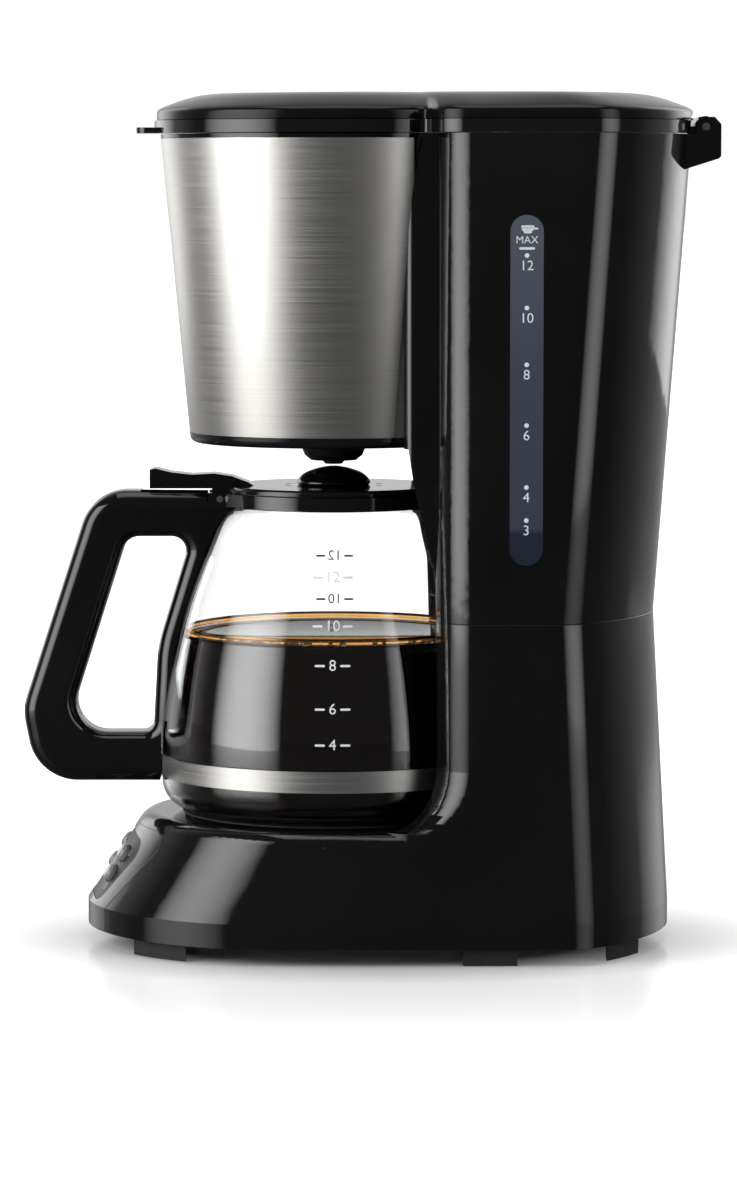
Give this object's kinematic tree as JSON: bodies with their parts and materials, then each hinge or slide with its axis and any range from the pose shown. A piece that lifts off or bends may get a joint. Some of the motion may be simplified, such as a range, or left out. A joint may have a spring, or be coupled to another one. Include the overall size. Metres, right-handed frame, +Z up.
{
  "type": "drip coffee maker",
  "caption": "Domestic filter coffee maker: tank column with sight window, round steel-wrapped filter hopper, hinged lid, sloping control nose, hotplate and glass carafe with lid and handle",
  "frame": {"origin": "middle of the whole object's footprint box, on the surface it stands on", "axes": "+Z up, -Y is the front with the controls and the carafe's handle, X = 0 is the plane of symmetry"},
  "size_m": [0.1702, 0.2894, 0.354],
  "materials": {
    "black_gloss": "polished black ABS",
    "black_matte": "fine matt black",
    "dark_lens": "smoked display lens",
    "smoke_button": "translucent grey dome",
    "window": "frosted blue-grey polypropylene",
    "glass": "clear borosilicate",
    "brushed_steel": "fine horizontal brushing",
    "zinc_steel": "zinc-plated",
    "aluminium": "as cast",
    "plate_coating": "non-stick coating",
    "rubber": "matt",
    "silicone": "milky",
    "circuit_board": "solder mask",
    "inner_plastic": "natural nylon"
  },
  "bodies": {
    "machine": {"base_housing": "black_gloss", "control_fascia": "black_gloss", "control_panel": "black_matte", "lcd_lens": "dark_lens", "control_board": "circuit_board", "tact_switches": "inner_plastic", "bottom_plate": "black_matte", "feet": "rubber", "bottom_screws": "zinc_steel", "cord_inlet": "black_matte", "plate_gasket": "rubber", "warming_plate": "plate_coating", "heating_element": "zinc_steel", "water_tube": "aluminium", "heat_spreader": "aluminium", "heater_bracket": "zinc_steel", "thermostat": "inner_plastic", "thermal_fuses": "inner_plastic", "heater_screw": "zinc_steel", "terminal_block": "inner_plastic", "tank_housing": "black_gloss", "sight_window": "window", "filter_housing": "black_gloss", "steel_wrap": "brushed_steel", "check_valve": "inner_plastic", "check_ball": "zinc_steel", "tank_strainer": "inner_plastic", "inlet_hose": "silicone", "riser_tube": "silicone", "riser_nozzle": "inner_plastic", "hinge_pin": "zinc_steel"},
    "lid": {"lid_liner": "black_gloss", "lid_cover": "black_gloss", "water_channel": "black_matte", "spray_plate": "black_matte"},
    "basket": {"filter_basket": "black_matte", "valve_cage": "black_matte", "valve_spring": "zinc_steel"},
    "valve": {"valve_plunger": "black_matte", "valve_seal": "silicone"},
    "button_1": {"button_1": "smoke_button"},
    "button_2": {"button_2": "smoke_button"},
    "button_3": {"button_3": "smoke_button"},
    "button_4": {"button_4": "smoke_button"},
    "carafe": {"carafe_glass": "glass", "carafe_band": "brushed_steel", "band_screw": "zinc_steel", "carafe_collar": "black_gloss", "carafe_handle": "black_gloss", "handle_foot": "black_gloss", "carafe_lid_pin": "zinc_steel"},
    "carafe_lid": {"carafe_lid": "black_gloss"}
  },
  "joints": [
    {"name": "lid_hinge", "type": "hinge", "parent": "machine", "child": "lid", "pos_m": [0, 0.1384, 0.3396], "axis": [-1, 0, 0], "range_deg": [0, 85]},
    {"name": "basket_lift", "type": "slide", "parent": "machine", "child": "basket", "axis": [0, 0, 1], "range_m": [0, 0.1]},
    {"name": "drip_valve", "type": "slide", "parent": "basket", "child": "valve", "axis": [0, 0, 1], "range_m": [0, 0.004], "stiffness_N_per_m": 150, "springref_m": -0.004, "deforming": ["valve_spring"]},
    {"name": "carafe_out", "type": "slide", "parent": "machine", "child": "carafe", "axis": [0, -1, 0], "range_m": [0, 0.33]},
    {"name": "carafe_lid_hinge", "type": "hinge", "parent": "carafe", "child": "carafe_lid", "pos_m": [0, -0.0624, 0.1852], "axis": [1, 0, 0], "range_deg": [0, 20]},
    {"name": "press_1", "type": "slide", "parent": "machine", "child": "button_1", "axis": [0.1994, 0.8097, -0.5519], "range_m": [0, 0.0007], "stiffness_N_per_m": 600},
    {"name": "press_2", "type": "slide", "parent": "machine", "child": "button_2", "axis": [0.1969, 0.8103, -0.5519], "range_m": [0, 0.0007], "stiffness_N_per_m": 600},
    {"name": "press_3", "type": "slide", "parent": "machine", "child": "button_3", "axis": [-0.1994, 0.8097, -0.5519], "range_m": [0, 0.0007], "stiffness_N_per_m": 600},
    {"name": "press_4", "type": "slide", "parent": "machine", "child": "button_4", "axis": [-0.1969, 0.8103, -0.5519], "range_m": [0, 0.0007], "stiffness_N_per_m": 600}
  ],
  "couplings": [
    {"joint": "basket_lift", "follows": "lid_hinge", "m_per_rad": 0.067339},
    {"joint": "carafe_lid_hinge", "follows": "carafe_out", "rad_per_m": 1.0567}
  ]
}
